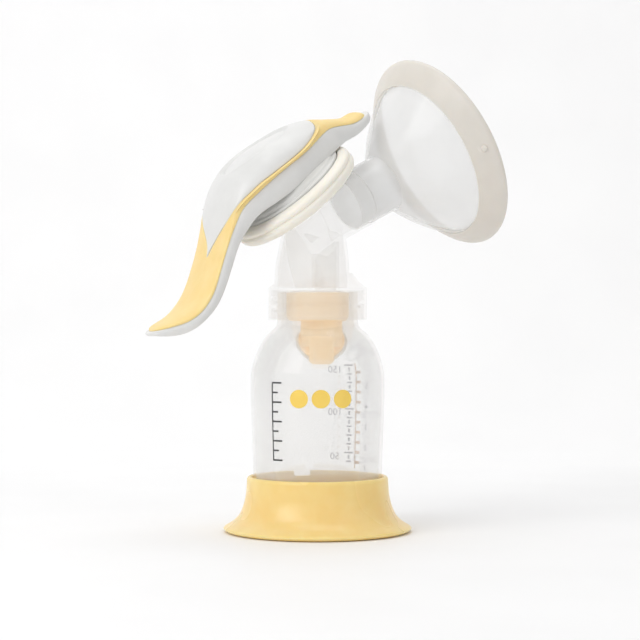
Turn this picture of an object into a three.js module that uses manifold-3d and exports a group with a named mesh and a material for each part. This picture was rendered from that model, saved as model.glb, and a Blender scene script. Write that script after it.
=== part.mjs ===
// Manual breast pump: a bottle in a round stand, a connector screwed on the bottle with a valve
// under it, a slanted shield on one side, and a two-phase hand lever on a soft diaphragm on the other.
// Millimetres, +Z up. The origin is the middle of the stand's underside and Z is the bottle's axis.
// The shield points to +X and the handle to -X. XZ is the plane of symmetry.
import * as THREE from "three";
import { mergeVertices } from "three/addons/utils/BufferGeometryUtils.js";
import Module from "manifold-3d";

const wasm = await Module();
wasm.setup();

// ---- driving dimensions ----
const GAP = 0.3; // between pieces that touch
const ROUND = 28; // facets round a turned piece
const STAND_R = 41.8;
const STAND_TOP = 24.5;
const STAND_FLOOR = 2.6;
const CUP_R = 29.2; // inside of the stand's cup
const NOTCH_WIDTH = 8; // drain notch in the stand's rim
const BOTTLE_Z = 3.0; // underside of the bottle
const NECK_R = 17.9;
const NECK_BORE = 16.2;
const NECK_TOP = 106.5;
const THREAD_PITCH = 4;
const THREAD_TURNS = 1.5;
const THREAD_STEPS = 18; // outlines in one turn of a thread
const BOTTLE_THREAD_R = 19.3; // crest of the bottle's thread
const BOTTLE_THREAD_Z = 96.2; // where the bottle's thread starts
const COLLAR_R = 22;
const COLLAR_BORE = 20.7;
const COLLAR_BOTTOM = 94;
const COLLAR_TOP = 108.3;
const DECK_Z = 107; // underside of the plate that closes the collar
const COLLAR_THREAD_R = 18.7; // crest of the collar's inner thread
const COLUMN_X = -2.6;
const COLUMN_WALL = 1.4;
const PORT_R = 12.4; // milk port under the deck, which the valve is pushed on
const PORT_BORE = 11.2;
const MILK_TUBE_X = 4;
const MILK_TUBE_R = 6.2;
const MILK_TUBE_BORE = 4.9;
const VALVE_X = 2; // axis of the valve's lower part
const VALVE_TURN = 62; // degrees from +X to where the valve's slanted face looks
const VALVE_TILT = 40; // degrees that this face looks below the horizontal
const SPOUT_R = 9.3;
const CHANNEL_R = 3.6; // milk channel through the valve
const FLAP_R = 11.5;
const SHIELD_RISE = 27; // degrees, slope of the shield's axis
const CREASE = [33.9, 156]; // x and z where the shield's tunnel meets its cone
const SOCKET_R = 13.8;
const SOCKET_BORE = 12.75;
const SOCKET_MOUTH = -15; // along the shield's axis from the crease
const SOCKET_FLOOR = -22.5; // where the stub of the shield ends in the socket
const TUNNEL_R = 13.2;
const TUNNEL_BORE = 12;
const DISH_CENTRE = [-12.2, 149.4]; // x and z of the diaphragm's centre
const DISH_LEAN = 48; // degrees, slope of the diaphragm's axis
const DISH_FLOOR = -9; // top of the dish's floor along that axis
const AIR_HOLE_R = 10; // hole in the dish's floor
const RING_R = 31.1;
const STEM_R = 4.5;
const FULCRUM_R = 24.5; // the handle rocks on the diaphragm this far from its axis
const HANDLE_FROM = -53; // end of the short tab, along the handle from the diaphragm's axis
const HANDLE_TO = 93; // end of the lever
const HANDLE_SKIN = 1.8; // thickness of the grip and the cover

// ---- materials ----
const plastic = (color, roughness, extra = {}) =>
  new THREE.MeshStandardMaterial({ color, roughness, metalness: 0, ...extra });
const clear = { transparent: true, opacity: 0.5 };
const YELLOW = plastic(0xf5d482, 0.45);
const BOTTLE_CLEAR = plastic(0xdfe2e8, 0.12, clear);
const CONNECTOR_CLEAR = plastic(0xe6e8e6, 0.3, clear);
const VALVE_YELLOW = plastic(0xf0c674, 0.5);
const WHITE = plastic(0xe8e8ea, 0.3);
const WHITE_SOFT = plastic(0xf0eee8, 0.6);
const GREY_WHITE = plastic(0xd2d2d0, 0.4);
const CREAM_SOFT = plastic(0xdcd2be, 0.6);

// ---- solids ----

// A closed geometry as a solid with its faces pointing out.
function solid(geometry) {
  const bare = new THREE.BufferGeometry();
  bare.setAttribute("position", geometry.getAttribute("position").clone());
  bare.setIndex(geometry.getIndex());
  const merged = mergeVertices(bare, 1e-3);
  const triangles = [];
  const index = merged.getIndex().array;
  for (let i = 0; i < index.length; i += 3) {
    const [a, b, c] = [index[i], index[i + 1], index[i + 2]];
    if (a !== b && b !== c && c !== a) triangles.push(a, b, c);
  }
  const make = (triVerts) => {
    const vertProperties = merged.getAttribute("position").array;
    return new wasm.Manifold(
      new wasm.Mesh({ numProp: 3, vertProperties, triVerts: new Uint32Array(triVerts) }),
    );
  };
  const made = make(triangles);
  return made.volume() < 0 ? make(triangles.reverse()) : made;
}

// Frames whose Z is the axis that a group of pieces is turned about.
const rad = THREE.MathUtils.degToRad;
function frameAt(origin, zAxis, xAxis) {
  const yAxis = new THREE.Vector3().crossVectors(zAxis, xAxis);
  return new THREE.Matrix4().makeBasis(xAxis, yAxis, zAxis).setPosition(origin);
}
const shieldAxis = new THREE.Vector3(Math.cos(rad(SHIELD_RISE)), 0, Math.sin(rad(SHIELD_RISE)));
const shieldUp = new THREE.Vector3(-shieldAxis.z, 0, shieldAxis.x);
const SHIELD = frameAt(new THREE.Vector3(CREASE[0], 0, CREASE[1]), shieldAxis, shieldUp);
const dishAxis = new THREE.Vector3(-Math.cos(rad(DISH_LEAN)), 0, Math.sin(rad(DISH_LEAN)));
const towardsLever = new THREE.Vector3(-dishAxis.z, 0, dishAxis.x);
const DISH = frameAt(new THREE.Vector3(DISH_CENTRE[0], 0, DISH_CENTRE[1]), dishAxis, towardsLever);
const UPRIGHT = new THREE.Matrix4();

// A turned solid: profile points are [radius, height] along the frame's Z, closed on themselves.
function turned(profile, frame = UPRIGHT, facets = ROUND) {
  const points = profile.map(([r, z]) => new THREE.Vector2(r, z));
  points.push(points[0].clone());
  const geometry = new THREE.LatheGeometry(points, facets);
  geometry.rotateX(Math.PI / 2);
  return solid(geometry.applyMatrix4(frame));
}

const rod = (r, low, high, frame = UPRIGHT, facets = ROUND) =>
  turned([[0, low], [r, low], [r, high], [0, high]], frame, facets);

const tube = (outer, inner, low, high, frame = UPRIGHT) =>
  turned([[inner, low], [outer, low], [outer, high], [inner, high]], frame);

// A closed solid through a row of outlines with the same number of points.
function loft(outlines, frame = UPRIGHT) {
  const count = outlines[0].length;
  const points = outlines.flat();
  const index = [];
  for (let row = 0; row + 1 < outlines.length; row++) {
    for (let i = 0; i < count; i++) {
      const a = row * count + i;
      const b = row * count + ((i + 1) % count);
      index.push(a, b, a + count, b, b + count, a + count);
    }
  }
  const middle = (outline) =>
    outline.reduce((sum, p) => sum.add(p), new THREE.Vector3()).divideScalar(count);
  points.push(middle(outlines[0]), middle(outlines[outlines.length - 1]));
  const last = (outlines.length - 1) * count;
  for (let i = 0; i < count; i++) {
    const next = (i + 1) % count;
    index.push(next, i, points.length - 2);
    index.push(last + i, last + next, points.length - 1);
  }
  const geometry = new THREE.BufferGeometry().setFromPoints(points);
  geometry.setIndex(index);
  return solid(geometry.applyMatrix4(frame));
}

function block(size, centre, frame = UPRIGHT) {
  const geometry = new THREE.BoxGeometry(...size);
  geometry.translate(...centre);
  return solid(geometry.applyMatrix4(frame));
}

// A screw ridge about Z: a trapezium that winds from its root radius out or in to its crest.
function screwRidge(root, crest, start) {
  const rootHalf = 1;
  const crestHalf = 0.4;
  const steps = Math.round(THREAD_TURNS * THREAD_STEPS);
  const outlines = [];
  for (let i = 0; i <= steps; i++) {
    const turn = (i / steps) * THREAD_TURNS;
    const angle = turn * 2 * Math.PI;
    const z = start + turn * THREAD_PITCH;
    const taper = Math.min(1, 0.15 + Math.min(i, steps - i) / 4);
    const tip = root + (crest - root) * taper;
    const at = (r, height) => new THREE.Vector3(r * Math.cos(angle), r * Math.sin(angle), z + height);
    outlines.push([at(root, -rootHalf), at(tip, -crestHalf), at(tip, crestHalf), at(root, rootHalf)]);
  }
  return loft(outlines);
}

// A smooth curve through [position, value] points, read at one position.
function along(points, position) {
  let i = 0;
  while (i + 2 < points.length && points[i + 1][0] < position) i++;
  const slope = (k) => {
    const before = points[Math.max(k - 1, 0)];
    const after = points[Math.min(k + 1, points.length - 1)];
    return (after[1] - before[1]) / (after[0] - before[0]);
  };
  const [[from, start], [to, end]] = [points[i], points[i + 1]];
  const width = to - from;
  const t = THREE.MathUtils.clamp((position - from) / width, 0, 1);
  const rise = 3 * t * t - 2 * t * t * t;
  const leave = t * (1 - t) * (1 - t) * width * slope(i);
  const arrive = t * t * (t - 1) * width * slope(i + 1);
  return start + (end - start) * rise + leave + arrive;
}

// ---- the assembly ----
const pump = new THREE.Group();
pump.name = "manual_breast_pump";

function piece(name, body, material) {
  const data = body.getMesh();
  const vertices = new Float32Array(data.numVert * 3);
  for (let i = 0; i < data.numVert; i++) {
    const start = i * data.numProp;
    vertices.set(data.vertProperties.subarray(start, start + 3), i * 3);
  }
  const geometry = new THREE.BufferGeometry();
  geometry.setAttribute("position", new THREE.BufferAttribute(vertices, 3));
  geometry.setIndex(new THREE.BufferAttribute(new Uint32Array(data.triVerts), 1));
  geometry.computeVertexNormals();
  const mesh = new THREE.Mesh(geometry, material);
  mesh.name = name;
  pump.add(mesh);
}

// Stand: a trumpet-shaped foot with a floor, a cup for the bottle and a drain notch in its rim.
function bottleStand() {
  const body = turned([
    [0, 0], [STAND_R - 1.8, 0], [STAND_R - 0.4, 0.5], [STAND_R, 1.3], [STAND_R - 0.6, 2.1],
    [37.3, 4.8], [34.9, 7.4], [33.3, 10.8], [32.2, 14.8], [31.7, 18.5], [31.4, STAND_TOP - 1],
    [30.9, STAND_TOP - 0.2], [30.2, STAND_TOP], [29.5, STAND_TOP - 0.3], [CUP_R, STAND_TOP - 1],
    [CUP_R, STAND_FLOOR + 1.6], [CUP_R - 1.6, STAND_FLOOR], [0, STAND_FLOOR],
  ]);
  const turn = new THREE.Matrix4().makeRotationZ(rad(VALVE_TURN + 14));
  const notch = block([8, NOTCH_WIDTH, 5], [CUP_R + 1, 0, STAND_TOP], turn);
  piece("bottle_stand", body.subtract(notch), YELLOW);
}

// Bottle: thin wall, waisted body, rounded shoulder and a threaded neck.
function bottle() {
  const wall = turned([
    [0, BOTTLE_Z + 1], [18, BOTTLE_Z + 0.3], [21.5, BOTTLE_Z], [26.2, BOTTLE_Z + 0.2],
    [28, BOTTLE_Z + 1.8], [28.4, BOTTLE_Z + 4.5], [28.7, 27], [29.5, 48], [29.8, 58], [29.8, 68],
    [29.3, 72], [28, 77], [25.8, 82.3], [22.3, 87.6], [19.4, 90.2], [18.2, 91.8], [NECK_R, 93.4],
    [NECK_R, NECK_TOP], [NECK_BORE, NECK_TOP],
    [NECK_BORE, 92.6], [17.4, 90.2], [21.2, 86.8], [24.7, 81.6], [26.7, 76.5], [28, 71.6],
    [28.4, 67.6], [28.4, 58], [28.1, 48], [27.3, 27], [27, BOTTLE_Z + 5], [26, BOTTLE_Z + 2.4],
    [21.5, BOTTLE_Z + 1.5], [0, BOTTLE_Z + 2.5],
  ]);
  const thread = screwRidge(NECK_R - 0.6, BOTTLE_THREAD_R, BOTTLE_THREAD_Z);
  piece("bottle", wall.add(thread), BOTTLE_CLEAR);
}

// Inside of the connector's dish, from its lip down.
const DISH_INSIDE = [[26.6, -0.6], [26.5, -2.6], [25.4, -4.2], [23.6, -5.2], [13.8, DISH_FLOOR]];

// Connector: one clear moulding of a threaded collar, a leaning column, a dish and a socket.
function connector() {
  const collar = turned([
    [0, DECK_Z], [COLLAR_BORE, DECK_Z], [COLLAR_BORE, COLLAR_BOTTOM], [COLLAR_R, COLLAR_BOTTOM],
    [COLLAR_R, COLLAR_TOP], [16, COLLAR_TOP + 6.2], [0, COLLAR_TOP + 6.2],
  ]);
  const columnAt = (wall, low, high) => {
    const ring = (z, r, x) => {
      const points = [];
      for (let i = 0; i < ROUND; i++) {
        const angle = (i / ROUND) * 2 * Math.PI;
        const across = r - wall;
        points.push(new THREE.Vector3(x + across * Math.cos(angle), across * Math.sin(angle), z));
      }
      return points;
    };
    return loft([
      ring(low, 17, COLUMN_X), ring(118, 16.4, COLUMN_X), ring(124, 15.6, COLUMN_X + 0.3),
      ring(131, 14.5, COLUMN_X + 0.6), ring(high, 13, COLUMN_X + 2),
    ]);
  };
  const far = 60; // reach of a cutter that has to pass everything
  const aboveDish = rod(far, DISH_FLOOR - 0.6, far, DISH);
  const belowDish = rod(far, -far, DISH_FLOOR + 0.4, DISH);
  const column = columnAt(0, COLLAR_TOP, 152).subtract(aboveDish);
  const dish = turned([
    [0, -10.4], [14, -10.2], [24.5, -6], [26.6, -4.2], [27, -3.4], [28.2, -3.4], [28.2, -0.6],
    ...DISH_INSIDE, [0, DISH_FLOOR],
  ], DISH);
  const inDish = turned([[0, far], [26.6, far], ...DISH_INSIDE, [0, DISH_FLOOR]], DISH);
  const tunnel = rod(SOCKET_R, -46, SOCKET_MOUTH, SHIELD);
  const shell = collar.add(column).add(tunnel.subtract(inDish)).add(dish);

  // The hollow column, with the tunnel's wall and the milk tube left standing in it.
  const hollow = columnAt(COLUMN_WALL, COLLAR_TOP, 152).intersect(belowDish);
  const tunnelWall = rod(SOCKET_R, -41, SOCKET_MOUTH, SHIELD);
  const milkTube = rod(MILK_TUBE_R, COLLAR_TOP - 2, 134, xShift(MILK_TUBE_X));
  const baffleAt = new THREE.Matrix4().makeRotationY(rad(-20)).setPosition(-9.5, 0, 124);
  const baffle = block([1.3, 40, 40], [0, 0, 0], baffleAt);
  const kept = tunnelWall.add(milkTube).add(baffle);
  const bore = rod(TUNNEL_BORE - 0.4, -42, SOCKET_MOUTH + 1, SHIELD);
  const socket = rod(SOCKET_BORE, SOCKET_FLOOR, SOCKET_MOUTH + 1, SHIELD);
  const airHole = rod(AIR_HOLE_R, -30, 0, DISH);
  const milkBore = rod(MILK_TUBE_BORE, 90, 138, xShift(MILK_TUBE_X));
  const port = tube(PORT_R, PORT_BORE, 97, DECK_Z + 0.5);
  const hollowed = shell
    .subtract(hollow.subtract(kept))
    .subtract(bore.intersect(belowDish))
    .subtract(socket)
    .subtract(airHole.intersect(columnAt(COLUMN_WALL, COLLAR_TOP, 152)))
    .subtract(milkBore);
  const threadStart = BOTTLE_THREAD_Z + THREAD_PITCH / 2;
  const thread = screwRidge(COLLAR_BORE + 0.6, COLLAR_THREAD_R, threadStart);
  piece("connector", hollowed.add(port).add(thread), CONNECTOR_CLEAR);
}

function xShift(x) {
  return new THREE.Matrix4().makeTranslation(x, 0, 0);
}

// Valve: a cup on the port, a spout, and a wedge whose slanted face carries a round flap.
function valve() {
  const turn = new THREE.Matrix4().makeRotationZ(rad(VALVE_TURN)).setPosition(VALVE_X, 0, 0);
  const faceAxis = new THREE.Vector3(Math.cos(rad(VALVE_TILT)), 0, -Math.sin(rad(VALVE_TILT)));
  const faceUp = new THREE.Vector3(-faceAxis.z, 0, faceAxis.x);
  const facePoint = new THREE.Vector3(0, 0, 84.5);
  const face = turn.clone().multiply(frameAt(facePoint, faceAxis, faceUp));
  const cup = turned([
    [0, 93.6], [12.6, 93.6], [13.9, 95.4], [13.9, 106], [PORT_R + GAP, 106], [PORT_R + GAP, 95.4],
    [0, 95.4],
  ]);
  const spout = rod(SPOUT_R, 82, 94.5, turn);
  const wedge = block([17, 11, 24], [0, 0, 84], turn).intersect(rod(SPOUT_R, 60, 94, turn));
  const seat = rod(10.3, -1.4, 0, face);
  const beyondFace = rod(60, 0, 60, face);
  const channel = rod(CHANNEL_R, 60, 96, turn, 24);
  const body = cup.add(spout).add(wedge).add(seat).subtract(beyondFace).subtract(channel);
  piece("valve_head", body, VALVE_YELLOW);
  const flap = turned([
    [0, GAP], [FLAP_R - 0.3, GAP], [FLAP_R, GAP + 0.3], [FLAP_R - 0.4, 1.1], [2.6, 1.4], [2.2, 2.4],
    [0, 2.6],
  ], face, 32);
  piece("valve_membrane", flap, WHITE_SOFT);
}

// Shield: a hard funnel whose stub is pushed into the socket, and a soft rim moulded on its edge.
function shield() {
  const funnel = turned([
    [TUNNEL_BORE - 0.4, SOCKET_FLOOR + GAP], [SOCKET_BORE - GAP, SOCKET_FLOOR + GAP],
    [SOCKET_BORE - GAP, SOCKET_MOUTH + GAP],
    [TUNNEL_R, SOCKET_MOUTH + GAP], [TUNNEL_R, 0], [18.6, 4.4], [26.4, 11.7], [33, 19.2],
    [37.3, 25.2], [36, 26.1], [31.6, 20.2], [25, 12.9], [17.4, 5.8], [TUNNEL_BORE, 1],
  ], SHIELD);
  piece("shield_funnel", funnel, CONNECTOR_CLEAR);
  const rim = turned([
    [37.7, 24.9], [39.4, 26.1], [43.3, 29.6], [45.4, 31.9], [46, 33.6], [45.4, 35], [44, 35.3],
    [42.6, 34.3], [38.6, 29.6], [36.4, 26.6],
  ], SHIELD);
  piece("shield_soft_rim", rim, WHITE_SOFT);
}

// Diaphragm: a ring that grips the dish's edge, a flexible cup, and a stem with its seal.
function diaphragm() {
  const ring = turned([
    [27.6, -3.7], [28.5, -3.7], [28.5, -GAP], [26.6, -GAP], [26.6, 1.2], [26.9, 2.2], [28, 2.7],
    [29.9, 2.5], [30.8, 1.7], [30.9, 0.6], [30.4, -0.3], [RING_R, -1.4], [30.9, -3], [30, -4.3],
    [28.8, -4.8], [27.6, -4.7],
  ], DISH);
  piece("diaphragm_rim", ring, CREAM_SOFT);
  const cup = turned([
    [26.2, 1], [26.2, -2.4], [25.1, -3.8], [23.4, -4.7], [13.7, -8.4], [4.9, -8.4], [4.9, -7.3],
    [13.4, -7.3], [23, -3.6], [24.4, -2.9], [25.1, -1.9], [25.1, 1],
  ], DISH);
  piece("diaphragm_membrane", cup, CREAM_SOFT);
  const stem = turned([
    [0, -9.9], [7.5, -9.9], [7.5, -8.8], [STEM_R, -8.8], [STEM_R, 10.6], [6.8, 10.6],
    [6.8, 11.8], [5, 13.4], [0, 13.4],
  ], DISH, 24);
  piece("diaphragm_stem", stem, WHITE);
  const seal = [];
  const sealR = 0.9;
  const sealSteps = 8;
  for (let i = 0; i < sealSteps; i++) {
    const angle = (i / sealSteps) * 2 * Math.PI;
    const middle = STEM_R + GAP + sealR;
    seal.push([middle + sealR * Math.cos(angle), -5.9 + sealR * Math.sin(angle)]);
  }
  piece("stem_o_ring", turned(seal, DISH, 24), CREAM_SOFT);
}

// ---- handle ----
// Lines of the handle in the diaphragm's frame, as [distance along the handle, height]. The short
// tab is at the negative end and the lever's tip at the positive end.
const CROWN = [
  [-53, 5.5], [-47, 8.6], [-41, 10.2], [-34, 15], [-25, 21.6], [-12, 26.8], [3, 29.8], [16, 29.4],
  [24, 26.8], [31, 21.9], [38, 15.9], [45, 10.3], [52, 6], [60, 1.8], [68, -1.2], [76, -2],
  [84, -0.2], [93, 2.4],
];
const EDGE = [
  [-53, 4.6], [-46, 5], [-41, 6.2], [-35, 9.6], [-29, 12.8], [-23, 14.3], [-8, 15.5], [8, 17.1],
  [20, 17.1], [30, 16], [38, 12.2], [46, 7.6], [54, 2.8], [62, -1.8], [68, -3.9], [74, -4.7],
  [80, -4], [86, -1.6], [93, 1.4],
];
const BOTTOM = [
  [-53, 2.4], [-48, 0.9], [-40, 0.9], [-30, 3.4], [-12, 4.9], [2, 5.8], [16, 7.7], [26, 8.7],
  [34, 7], [41, 4.4], [48, 0.3], [56, -4.2], [64, -7.6], [72, -8.9], [79, -8.8], [85, -6.8],
  [93, -0.8],
];
const HALF_WIDTH = [
  [-53, 6], [-50, 6.4], [-45, 7.2], [-38, 8.2], [-31, 10.6], [-20, 16.2], [-10, 20.3], [0, 22.2],
  [10, 22.4], [20, 21], [30, 18.5], [40, 16.5], [50, 15.6], [60, 15.5], [70, 15.4], [76, 14.5],
  [82, 12], [88, 8.4], [93, 5],
];

// The seam between grip and cover, as [distance along the handle, degrees up from the edge line to
// the crown]. The cover ends where it reaches 90.
const SEAM = [
  [-26, 90], [-25, 58], [-22.5, 31], [-18, 17], [-10, 9.5], [0, 7.6], [9, 7.6], [18, 9.8],
  [26, 11.5], [32, 19], [38, 38], [42, 58], [46.5, 79], [51, 90],
];

// The crown's height over the edge line is a power of the sine: round over the rocker, flatter along
// the lever.
function crownLift(u, angle) {
  const flatter = THREE.MathUtils.smoothstep(u, 12, 42);
  return Math.pow(Math.sin(angle), 0.92 - 0.37 * flatter);
}

// Where the outlines of the handle stand: closer together towards both ends.
function handleStations(from, to, count) {
  const stations = [];
  for (let i = 0; i <= count; i++) {
    const even = i / count;
    const eased = (1 - Math.cos(Math.PI * even)) / 2;
    stations.push(from + (to - from) * (0.45 * even + 0.55 * eased));
  }
  return stations;
}

// The handle's outer skin, or one that lies a skin's thickness inside it.
function handleBody(skin, from, to, count) {
  const endRound = 4.5;
  const arcSteps = 8;
  const outlines = handleStations(from, to, count).map((u) => {
    const toEnd = Math.min(u - from, to - u);
    const short = Math.max(0, 1 - toEnd / endRound);
    const rounding = Math.max(0.16, Math.sqrt(1 - short * short));
    const half = (along(HALF_WIDTH, u) - skin) * rounding;
    const edge = along(EDGE, u);
    const bottom = along(BOTTOM, u);
    const middle = (edge + bottom) / 2;
    const top = edge + (along(CROWN, u) - skin - edge) * rounding;
    const foot = middle + (bottom + skin - middle) * rounding;
    const outline = [];
    for (let i = 0; i <= arcSteps; i++) {
      const angle = (i / arcSteps) * Math.PI;
      const height = edge + (top - edge) * crownLift(u, angle);
      outline.push(new THREE.Vector3(u, half * Math.cos(angle), height));
    }
    const side = (share, height) => new THREE.Vector3(u, share * half, height);
    outline.push(side(-1.015, (edge + middle) / 2), side(-0.99, (foot + middle) / 2));
    outline.push(side(-0.9, foot), side(-0.45, foot + 0.5), side(0.45, foot + 0.5), side(0.9, foot));
    outline.push(side(0.99, (foot + middle) / 2), side(1.015, (edge + middle) / 2));
    return outline;
  });
  return loft(outlines, DISH);
}

// Everything of the handle's space that lies under its edge line, or under a line near it.
function underEdge(offset) {
  const outlines = handleStations(HANDLE_FROM - 2, HANDLE_TO + 2, 26).map((u) => {
    const clamped = THREE.MathUtils.clamp(u, HANDLE_FROM, HANDLE_TO);
    const top = along(EDGE, clamped) + offset;
    return [
      new THREE.Vector3(u, -30, -60), new THREE.Vector3(u, 30, -60),
      new THREE.Vector3(u, 30, top), new THREE.Vector3(u, -30, top),
    ];
  });
  return loft(outlines, DISH);
}

// The wedge of the handle's space that the cover lies in, from the edge line out past the crown,
// grown or shrunk by an offset.
function coverSpace(offset) {
  const from = SEAM[0][0];
  const to = SEAM[SEAM.length - 1][0];
  const outlines = handleStations(from, to, 24).map((u) => {
    const ends = u === from ? -offset : u === to ? offset : 0;
    const angle = rad(THREE.MathUtils.clamp(along(SEAM, u), 0, 90));
    const edge = along(EDGE, u);
    const rise = (along(CROWN, u) - edge) * crownLift(u, angle);
    const out = new THREE.Vector2(along(HALF_WIDTH, u) * Math.cos(angle), rise).normalize();
    const start = new THREE.Vector2(offset * out.y, -offset * out.x);
    const end = start.clone().addScaledVector(out, 60);
    const point = (side, y, height) =>
      new THREE.Vector3(u + ends, side * Math.max(y, 0.02), edge + height);
    return [
      point(1, start.x, start.y), point(1, end.x, end.y), point(1, 70, 90),
      point(-1, 70, 90), point(-1, end.x, end.y), point(-1, start.x, start.y),
    ];
  });
  return loft(outlines, DISH);
}

// Handle: a white shell, a soft grip and a cover laid over its crown, and the rocker in its underside.
function handle() {
  const whole = handleBody(0, HANDLE_FROM, HANDLE_TO, 34);
  const inner = handleBody(HANDLE_SKIN, HANDLE_FROM + 2.6, HANDLE_TO - 2.6, 24);
  const core = handleBody(HANDLE_SKIN + 0.4, HANDLE_FROM + 3, HANDLE_TO - 3, 24);
  const skin = whole.subtract(underEdge(GAP / 2)).subtract(inner);
  piece("handle_cover", skin.intersect(coverSpace(-GAP / 2)), WHITE);
  piece("handle_grip", skin.subtract(coverSpace(GAP / 2)), YELLOW);

  const rocker = turned([
    [FULCRUM_R - 0.5, 3.1], [26.2, 3.1], [26.2, 4.4], [24.6, 5], [24.2, 5.9], [17.4, 9.8],
    [16.6, 10.2], [5, 10.2], [4.9, 8.8], [15.6, 8.8], [16.2, 8.4], [22.6, 4.8],
  ], DISH);
  piece("handle_rocker", rocker, GREY_WHITE);

  const rockerRoom = turned([
    [0, -20], [27, -20], [27, 4.9], [24.9, 5.4], [24.6, 6.3], [17.6, 10.2], [17.2, 10.6], [0, 10.6],
  ], DISH);
  const hollow = handleBody(2 * HANDLE_SKIN, -27, 40, 12).intersect(rod(60, 8, 60, DISH));
  const lower = whole.intersect(underEdge(-GAP / 2));
  const shell = lower.add(core).subtract(rockerRoom).subtract(hollow);
  piece("handle_shell", shell, WHITE);
}

bottleStand();
bottle();
connector();
valve();
shield();
diaphragm();
handle();

export default pump;
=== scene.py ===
import math
import bpy
import bmesh
from mathutils import Matrix, Vector


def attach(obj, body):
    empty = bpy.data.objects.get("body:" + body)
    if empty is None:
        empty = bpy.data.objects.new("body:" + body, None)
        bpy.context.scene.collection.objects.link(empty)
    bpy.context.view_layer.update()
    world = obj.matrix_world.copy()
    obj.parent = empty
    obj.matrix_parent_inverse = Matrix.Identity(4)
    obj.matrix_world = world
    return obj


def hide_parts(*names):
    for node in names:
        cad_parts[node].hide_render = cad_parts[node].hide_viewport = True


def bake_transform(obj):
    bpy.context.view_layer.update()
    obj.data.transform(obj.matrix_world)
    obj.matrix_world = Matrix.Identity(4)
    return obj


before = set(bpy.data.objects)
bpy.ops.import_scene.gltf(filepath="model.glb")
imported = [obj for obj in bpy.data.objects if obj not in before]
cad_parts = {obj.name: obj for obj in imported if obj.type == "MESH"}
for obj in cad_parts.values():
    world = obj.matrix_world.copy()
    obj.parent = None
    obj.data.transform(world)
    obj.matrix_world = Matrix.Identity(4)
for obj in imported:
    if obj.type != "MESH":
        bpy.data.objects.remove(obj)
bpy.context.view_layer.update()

MM = 0.001
FACETS = 112  # round a turned piece
GAP = 0.3  # between pieces that touch, as in the CAD

# ---- camera and light ----
VIEW_TURN = math.radians(28)  # the view looks this far from +Y towards +X
VIEW_DISTANCE = 775 * MM
VIEW_HEIGHT = 93.9 * MM
VIEW_SHIFT = 1.1 * MM
LENS = 97.9
CLEAR_WALLS = 32  # clear surfaces that light may cross on its way
view_axis = Vector((math.sin(VIEW_TURN), math.cos(VIEW_TURN), 0))
view_right = Vector((math.cos(VIEW_TURN), -math.sin(VIEW_TURN), 0))


def camera():
    data = bpy.data.cameras.new("camera")
    data.lens = LENS
    eye = bpy.data.objects.new("camera", data)
    bpy.context.collection.objects.link(eye)
    eye.location = view_right * VIEW_SHIFT - view_axis * VIEW_DISTANCE + Vector((0, 0, VIEW_HEIGHT))
    eye.rotation_mode = "QUATERNION"
    eye.rotation_quaternion = view_axis.to_track_quat("-Z", "Y")
    bpy.context.scene.camera = eye


def softbox(name, right, depth, height, width, tall, power, colour=(1, 1, 1)):
    data = bpy.data.lights.new(name, "AREA")
    data.shape = "RECTANGLE"
    data.size, data.size_y = width, tall
    data.energy = power
    data.color = colour
    lamp = bpy.data.objects.new(name, data)
    bpy.context.collection.objects.link(lamp)
    lamp.location = view_right * right + view_axis * depth + Vector((0, 0, height))
    aim = Vector((0, 0, 0.11)) - lamp.location
    lamp.rotation_mode = "QUATERNION"
    lamp.rotation_quaternion = aim.to_track_quat("-Z", "Y")


def studio():
    world = bpy.data.worlds.new("studio")
    bpy.context.scene.world = world
    world.use_nodes = True
    backdrop = world.node_tree.nodes["Background"]
    backdrop.inputs["Color"].default_value = (1.0, 0.995, 0.985, 1)
    backdrop.inputs["Strength"].default_value = 0.565
    softbox("key_softbox", -0.75, -0.7, 0.7, 0.7, 0.7, 5.0)
    softbox("fill_softbox", 0.9, -0.7, 0.5, 0.4, 0.9, 0.8)
    softbox("top_softbox", 0.0, 0.05, 1.3, 1.0, 1.0, 4.5)
    bpy.context.scene.view_settings.view_transform = "Standard"
    bpy.context.scene.cycles.transparent_max_bounces = CLEAR_WALLS


# ---- mesh making ----
def finish_mesh(bm, name, frame_matrix, sharp):
    bmesh.ops.remove_doubles(bm, verts=bm.verts, dist=1e-4)
    bmesh.ops.dissolve_degenerate(bm, edges=bm.edges, dist=1e-5)
    bmesh.ops.recalc_face_normals(bm, faces=bm.faces)
    mesh = bpy.data.meshes.new(name)
    bm.to_mesh(mesh)
    bm.free()
    mesh.transform(Matrix.Scale(MM, 4) @ frame_matrix)
    mesh.shade_smooth()
    mesh.set_sharp_from_angle(angle=math.radians(sharp))
    piece = bpy.data.objects.new(name, mesh)
    bpy.context.collection.objects.link(piece)
    return piece


def lofted(name, rings, frame_matrix=Matrix.Identity(4), closed=False, sharp=38):
    """Faces through rings of points; the last ring joins the first if closed, else both are capped."""
    bm = bmesh.new()
    rows = [[bm.verts.new(p) for p in ring] for ring in rings]
    count = len(rows[0])
    for k in range(len(rows) if closed else len(rows) - 1):
        here, there = rows[k], rows[(k + 1) % len(rows)]
        for i in range(count):
            j = (i + 1) % count
            bm.faces.new((here[i], here[j], there[j], there[i]))
    if not closed:
        bm.faces.new(rows[0][::-1])
        bm.faces.new(rows[-1])
    return finish_mesh(bm, name, frame_matrix, sharp)


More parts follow.
